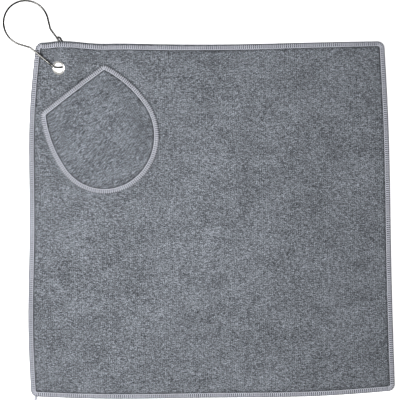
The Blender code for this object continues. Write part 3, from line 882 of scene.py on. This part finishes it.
# One stitch of each thread as (share of the pitch, inset, height up the band's thickness,
# from 0 on the surface to 1 on top).
UPPER_STITCH = (
    (0.00, 4.02, 0.86),
    (0.22, 3.75, 0.96),
    (0.30, 3.05, 0.98),
    (0.22, 2.20, 1.04),
    (0.22, 1.50, 1.00),
    (0.29, 1.05, 0.88),
    (0.42, 0.85, 0.74),
    (0.55, 1.05, 0.88),
    (0.62, 1.50, 1.00),
    (0.62, 2.20, 1.04),
    (0.54, 3.05, 0.98),
    (0.62, 3.75, 0.96),
    (0.82, 4.05, 0.84),
)
LOWER_STITCH = (
    (0.00, 4.30, 0.16),
    (0.14, 3.00, 0.14),
    (0.26, 1.20, 0.15),
    (0.31, 0.50, 0.30),
    (0.35, 0.28, 0.52),
    (0.42, 0.60, 0.76),
    (0.49, 0.28, 0.52),
    (0.53, 0.50, 0.30),
    (0.58, 1.20, 0.15),
    (0.62, 3.00, 0.14),
    (0.68, 4.30, 0.16),
)


def stitched(edge, stitch, base, thickness, jitter):
    """Points of one thread that repeats its stitch all round an edge, a little unevenly."""
    count = round(edge.length / STITCH_PITCH)
    pitch = edge.length / count
    shape = np.array(stitch)
    wander = random.normal(0.0, jitter, (count, 1, 3)) * JITTER_PARTS
    place = shape[None] + wander
    along = ((np.arange(count)[:, None] + place[:, :, 0]) * pitch).ravel()
    inset = np.maximum(place[:, :, 1], OUTERMOST).ravel()
    flat = edge.at(along, inset)
    under = base(edge.at(along, np.full(len(along), BASE_INSET)))
    height = np.clip(place[:, :, 2], LOWEST, HIGHEST).ravel() * thickness
    return np.column_stack([flat, under + height])


def towel_base(points):
    """Height of the towel's underside."""
    return lift(points[:, 0], points[:, 1])


def running_stitch(edge, base, height):
    """Points of a needle thread: a straight stitch that dips into the cloth at each end."""
    count = round(edge.length / STITCH_PITCH)
    pitch = edge.length / count
    # Down in the cloth, up at one end, bowed up in the middle and up at the other end
    shares = np.array([0.0, 0.18, 0.5, 0.82])
    drop = np.array([NEEDLE_DIP, 0.0, -0.05, 0.0])
    along = ((np.arange(count)[:, None] + shares) * pitch).ravel()
    flat = edge.at(along, np.full(len(along), NEEDLE_INSET))
    level = base(flat) + height - np.tile(drop, count)
    return np.column_stack([flat, level])


def make_band(prefix, edge, base, thickness, material, shaded_edge_material):
    """The three threads of one overlocked edge."""
    upper = stitched(edge, UPPER_STITCH, base, thickness, UPPER_JITTER)
    lower = stitched(edge, LOWER_STITCH, base, thickness, LOWER_JITTER)
    needle = running_stitch(edge, base, thickness * NEEDLE_HEIGHT)
    pieces = []
    for name, points, radius, sides, yarn in (
        ("upper_looper", upper, LOOPER_R, 6, material),
        # The lower looper's loops at the outer edge take the yarn with painted shade
        ("lower_looper", lower, LOOPER_R, 5, shaded_edge_material),
        ("needle_thread", needle, NEEDLE_R, 5, material),
    ):
        run = catmull(points, 2, closed=True)
        piece = tube(f"{prefix}_{name}_stitches", run, radius, yarn, sides, closed=True)
        finish_piece(piece, "towel", f"{prefix}_{name}")
        pieces.append(piece)
    return pieces


def make_tail(material):
    """The chain of thread left where the overlock runs off the towel's lower left corner."""
    start, end = Vector(TAIL_FROM), Vector(TAIL_TO)
    ahead = (end - start).normalized()
    beside = ahead.cross(Vector((0.0, 0.0, 1.0)))
    above = beside.cross(ahead)
    for strand in range(TAIL_STRANDS):
        points = []
        for share in np.linspace(0.0, 1.0, TAIL_POINTS):
            turn = 2 * math.pi * (share * TAIL_TURNS + strand / TAIL_STRANDS)
            across = TAIL_R * (1.0 + TAIL_WANDER * math.sin(3.0 * share + strand)) * math.cos(turn)
            up = TAIL_HALF_H * math.sin(turn)
            points.append(start.lerp(end, share) + beside * across + above * up)
        piece = tube(f"towel_edge_tail_{strand + 1}", points, TAIL_STRAND_R, material, round_ends=True)
        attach(piece, "towel")


# --- Pocket ----------------------------------------------------------------------------


def pocket_heights(flat):
    """Underside and top height of the pocket's cloth at each point."""
    inset = distance_to(flat, POCKET_OUTLINE)
    field = smooth_step((inset - BAND_W - POCKET_FIELD_START) / POCKET_FIELD_W)
    groove = POCKET_GROOVE_DEPTH * np.exp(-(((inset - BAND_W - GROOVE_AT) / GROOVE_HALF) ** 2))
    half = (POCKET_BAND_CLOTH_T + (POCKET_T - POCKET_BAND_CLOTH_T) * field) / 2
    centre = pocket_base(flat) + POCKET_BAND_T / 2
    return centre - half, centre + half - groove


def make_pocket(material):
    """The pocket's sheet as loops inside one another, closed by a fan in the middle."""
    loops = [pocket_loop(inset) for inset in POCKET_RINGS]
    loops += [pocket_loop(POCKET_CORNER_R, share) for share in DRAWN_RINGS]
    middle = np.array([pocket_world(0.0, BODY_AT)])
    flat = np.concatenate([*loops, middle])
    under, over = pocket_heights(flat)
    points = np.concatenate([np.column_stack([flat, over]), np.column_stack([flat, under])])
    size, below = len(loops[0]), len(flat)
    hub = below - 1
    faces = []
    for k in range(size):
        ahead = (k + 1) % size
        for ring in range(len(loops) - 1):
            a, b = ring * size + k, ring * size + ahead
            faces.append((a, b, b + size, a + size))
            faces.append((a + below, a + size + below, b + size + below, b + below))
        last = (len(loops) - 1) * size
        faces.append((last + k, last + ahead, hub))
        faces.append((last + ahead + below, last + k + below, hub + below))
        faces.append((ahead, k, k + below, ahead + below))
    pocket = add_mesh("pocket_cloth_knit", points, faces, material)
    # Painted shade on the knit under and just inside the band's threads
    mark_painted_shade(pocket, painted_shade_share(distance_to(flat, POCKET_OUTLINE)))
    return pocket


def pocket_top(flat):
    return pocket_heights(flat)[1]


def seam_path(height_of, dip, rise):
    """One thread of the pocket's lockstitch, from one mouth corner to the other. dip is how
    far it goes down into the cloth between its stitches."""
    first = MOUTH_POINTS + POCKET_CORNER_POINTS - 1
    last = len(POCKET_CORE) - (POCKET_CORNER_POINTS - 2)
    loop = pocket_loop(SEAM_INSET)[first:last]
    steps = np.linalg.norm(np.diff(loop, axis=0), axis=1)
    along = np.concatenate([[0.0], np.cumsum(steps)])
    count = int(along[-1] / SEAM_PITCH)
    shares = np.array([0.0, 0.16, 0.5, 0.84])
    stations = ((np.arange(count)[:, None] + shares) * along[-1] / count).ravel()
    flat = np.column_stack([np.interp(stations, along, loop[:, k]) for k in (0, 1)])
    drop = np.tile(np.array([dip, 0.0, -0.04, 0.0]), count)
    return np.column_stack([flat, height_of(flat) + rise - drop])


def make_seam(material):
    over = seam_path(pocket_top, SEAM_DIP, SEAM_RISE)
    under = seam_path(towel_base, -SEAM_DIP, BOBBIN_RISE)
    for name, points in (("needle", over), ("bobbin", under)):
        run = catmull(points, 2, closed=False)
        piece = tube(f"pocket_seam_{name}_stitches", run, SEAM_R, material)
        finish_piece(piece, "towel", f"pocket_seam_{name}_thread")


# --- Eyelet ----------------------------------------------------------------------------


def turned(name, profile, material, sides=96):
    """Turns a closed (radius, height) profile about the eyelet's axis."""
    points = []
    for k in range(sides):
        outward = eyelet_outward(k, sides)
        points += [EYELET_AT + outward * r + EYELET_AXIS * h for r, h in profile]
    width = len(profile)
    faces = []
    for i in range(sides):
        here, ahead = i * width, (i + 1) % sides * width
        for j in range(width):
            faces.append((here + j, here + (j + 1) % width, ahead + (j + 1) % width, ahead + j))
    return add_mesh(name, points, faces, material)


def arc_profile(centre, radius_out, radius_up, first, last, steps):
    """Part of an oval in a profile, between two turns in degrees."""
    turns = np.radians(np.linspace(first, last, steps))
    return [(centre[0] + radius_out * math.cos(t), centre[1] + radius_up * math.sin(t)) for t in turns]


def make_eyelet(material):
    """The eyelet, a domed flange on a barrel that is rolled out behind, and its washer."""
    face = EYELET_CLOTH_T / 2 + METAL_CLEAR
    back = -(EYELET_CLOTH_T / 2 + 0.3 + FLANGE_T)
    middle = (HOLE_R + FLANGE_R) / 2
    half = (FLANGE_R - HOLE_R) / 2
    # The dome, the flange's underside and the barrel's outside, then the roll and the bore
    profile = arc_profile((middle, face), half, CROWN_H, 180.0, 0.0, 15)
    profile += [(FLANGE_R - 0.12, face - 0.02), (HOLE_R + 0.42, face), (HOLE_R + 0.35, back + 0.3)]
    profile += arc_profile((HOLE_R + 0.5, back + 0.2), 0.5, 0.3, -20.0, -180.0, 7)
    eyelet = turned("eyelet_shell", profile, material)
    finish_piece(eyelet, "eyelet_ring", "eyelet")

    front = -EYELET_CLOTH_T / 2 - METAL_CLEAR
    inner, outer = HOLE_R + 1.05, FLANGE_R + 0.1
    # The flat face on the cloth, then the rounded outer and inner rims behind
    profile = [(inner, front), (outer - 0.15, front), (outer, front - 0.15)]
    profile += arc_profile((outer - 0.55, back + 0.35), 0.5, 0.35, 0.0, -90.0, 5)
    profile += arc_profile((inner + 0.3, back + 0.25), 0.3, 0.25, -90.0, -180.0, 4)
    washer = turned("eyelet_washer_ring", profile, material)
    finish_piece(washer, "eyelet_ring", "eyelet_washer")


# --- Clip ------------------------------------------------------------------------------


def clip_point(along, across, over=0.0):
    """Place of a point given in the clip's own plane, from the middle of its bow."""
    return BOW_AT + CLIP_ALONG * along + CLIP_ACROSS * across + CLIP_OVER * over


def on_circle(centre, radius, turn):
    return centre[0] + radius * math.cos(turn), centre[1] + radius * math.sin(turn)


def arc(centre, radius, first, last, steps):
    return [on_circle(centre, radius, turn) for turn in np.linspace(first, last, steps)]


def tangent_turn(point, centre, radius, side):
    """Where on a circle the straight line from a point touches it, on the given side."""
    dx, dy = point[0] - centre[0], point[1] - centre[1]
    return math.atan2(dy, dx) + side * math.acos(radius / math.hypot(dx, dy))


def rounded_corner(before, corner, after, radius, steps):
    """The arc that rounds the corner between two straight runs."""
    corner = Vector(corner)
    back = (Vector(before) - corner).normalized()
    ahead = (Vector(after) - corner).normalized()
    half = back.angle(ahead) / 2
    centre = corner + (back + ahead).normalized() * radius / math.sin(half)
    start = corner + back * radius / math.tan(half)
    end = corner + ahead * radius / math.tan(half)
    first = math.atan2(*(start - centre).yx)
    sweep = (start - centre).angle_signed(end - centre)
    return arc(centre, radius, first, first - sweep, steps)


def clip_side(side):
    """From the far end of the bow round one side, over the neck's kink, to the leg's foot."""
    kink = (KINK_ALONG, side * KINK_ACROSS)
    bow_end = side * abs(tangent_turn(kink, (0.0, 0.0), BOW_R, side))
    bow = arc((0.0, 0.0), BOW_R, side * math.pi, bow_end, 40)
    bend = (BEND_ALONG, 0.0)
    touch = tangent_turn(kink, bend, BEND_R, -side)
    foot = on_circle(bend, BEND_R, touch)
    neck = rounded_corner(bow[-1], kink, foot, KINK_R, 9)
    return bow + neck, foot, touch


def straight_run(start, end, steps):
    """Points from start, left out, to end."""
    return [tuple(Vector(start).lerp(Vector(end), t)) for t in np.linspace(0.0, 1.0, steps)[1:]]


def make_clip(material):
    """The bent wire: bow and both legs in one piece, and the bend through the eyelet with the return
    wire and its hooked tip."""
    right, right_foot, right_touch = clip_side(1)
    left, left_foot, left_touch = clip_side(-1)
    slope = (right_foot[1] - right[-1][1]) / (right_foot[0] - right[-1][0])

    def leg_across(along):
        return right[-1][1] + (along - right[-1][0]) * slope

    leg_end = (LEG_END_ALONG, leg_across(LEG_END_ALONG))
    run = straight_run(left[-1], left_foot, 12)[::-1] + left[::-1] + right[1:]
    run += straight_run(right[-1], leg_end, 12)
    wire = tube("clip_wire", [clip_point(*p) for p in run], WIRE_R, material, WIRE_SIDES)
    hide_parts("clip_latch_leg")
    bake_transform(wire)

    bend = []
    for turn in np.linspace(left_touch, right_touch, 40):
        opened = WIRE_PITCH * smooth_step((turn - left_touch) / (right_touch - left_touch))
        bend.append(on_circle((BEND_ALONG, 0.0), BEND_R + opened, turn))
    hook_start = CATCH_ALONG + HOOK_LENGTH
    back = np.linspace(bend[-1][0] - RETURN_GAP, hook_start, 6)
    back = [(along, leg_across(along) + WIRE_PITCH) for along in back]
    points = [clip_point(*p) for p in bend + back]
    base = leg_across(CATCH_ALONG)
    for turn in np.linspace(0.0, math.pi / 2, 12)[1:]:
        across = base + WIRE_PITCH * math.cos(turn)
        over = HOOK_OVER * math.sin(turn)
        points.append(clip_point(hook_start - HOOK_LENGTH * math.sin(turn), across, over))
    points.append(clip_point(CATCH_ALONG - TIP_ALONG, base - TIP_ACROSS, HOOK_OVER))
    hook = tube("clip_bend_wire", points, WIRE_R, material, WIRE_SIDES)
    finish_piece(hook, "clip", "clip_hooked_leg")


# --- Assembly --------------------------------------------------------------------------


def finish_piece(piece, body, node):
    """Says what a piece moves with, and hides the CAD node that it replaces."""
    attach(piece, body)
    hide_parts(node)


def make_camera():
    camera = bpy.data.objects.new("camera", bpy.data.cameras.new("camera"))
    camera.data.lens = LENS
    camera.data.sensor_width = SENSOR
    camera.location = (VIEW_CENTRE[0] * MM, VIEW_CENTRE[1] * MM, VIEW_WIDTH * MM * LENS / SENSOR)
    camera.data.clip_end = CLIP_END
    bpy.context.scene.collection.objects.link(camera)
    bpy.context.scene.camera = camera


def add_light(name, place, target, size, power):
    light = bpy.data.lights.new(name, "AREA")
    light.shape = "DISK"
    light.size = size
    light.energy = power
    obj = bpy.data.objects.new(name, light)
    obj.location = place
    obj.rotation_mode = "QUATERNION"
    obj.rotation_quaternion = (Vector(target) - Vector(place)).to_track_quat("-Z", "Y")
    bpy.context.scene.collection.objects.link(obj)


def studio_world():
    """Light from the studio's walls, under a dark ceiling."""
    world = bpy.data.worlds.new("studio")
    world.use_nodes = True
    nodes, links = world.node_tree.nodes, world.node_tree.links
    place = nodes.new("ShaderNodeTexCoord")
    parts = nodes.new("ShaderNodeSeparateXYZ")
    ramp = nodes.new("ShaderNodeValToRGB")
    for element, (position, tone) in zip(ramp.color_ramp.elements, (WALL_TONE, CEILING_TONE)):
        element.position = position
        element.color = tone
    background = nodes["Background"]
    background.inputs["Strength"].default_value = WALL_LIGHT
    links.new(place.outputs["Generated"], parts.inputs["Vector"])
    links.new(parts.outputs["Z"], ramp.inputs["Fac"])
    links.new(ramp.outputs["Color"], background.inputs["Color"])
    return world


def make_studio():
    scene = bpy.context.scene
    scene.view_settings.view_transform = "Standard"
    scene.world = studio_world()
    for light in LIGHTS:
        add_light(*light)

    paper = Nodes("floor_paper")
    paper.shader.inputs["Base Color"].default_value = FLOOR_WHITE
    paper.shader.inputs["Roughness"].default_value = 0.9
    paper.shader.inputs["Emission Color"].default_value = (1.0, 1.0, 1.0, 1.0)
    paper.shader.inputs["Emission Strength"].default_value = FLOOR_GLOW
    corners = ((-1, -1), (1, -1), (1, 1), (-1, 1))
    points = [(x * FLOOR_HALF, y * FLOOR_HALF, FLOOR_Z) for x, y in corners]
    floor = add_mesh("floor", points, [(0, 1, 2, 3)], paper.material, smooth=False)


def build():
    make_camera()
    make_studio()
    knit = knit_material("microfibre_knit", *CLOTH_KNIT)
    brushed = knit_material("pocket_knit", *POCKET_KNIT)
    yarn = thread_material("overlock_yarn", *BAND_YARN)
    # Darker copy of the yarn, as painted shade on the edge's outer loops
    shaded_edge_yarn = thread_material("shaded_edge_yarn", *SHADED_RIM_YARN)
    seam_yarn = thread_material("seam_yarn", *SEAM_YARN)
    nickel = metal_material("polished_nickel", *NICKEL)
    # The wire's dark colour is a painted reflection of dark surroundings
    steel = metal_material("polished_wire", *STEEL_WITH_PAINTED_REFLECTION)

    towel = make_towel(knit)
    finish_piece(towel, "towel", "towel_cloth")
    towel_band = make_band("towel_edge", TOWEL_EDGE, towel_base, BAND_T, yarn, shaded_edge_yarn)
    make_tail(shaded_edge_yarn)
    pocket = make_pocket(brushed)
    finish_piece(pocket, "towel", "pocket_cloth")
    pocket_band = make_band("pocket_edge", POCKET_EDGE, pocket_base, POCKET_BAND_T, yarn, shaded_edge_yarn)
    make_seam(seam_yarn)
    make_eyelet(nickel)
    make_clip(steel)


build()
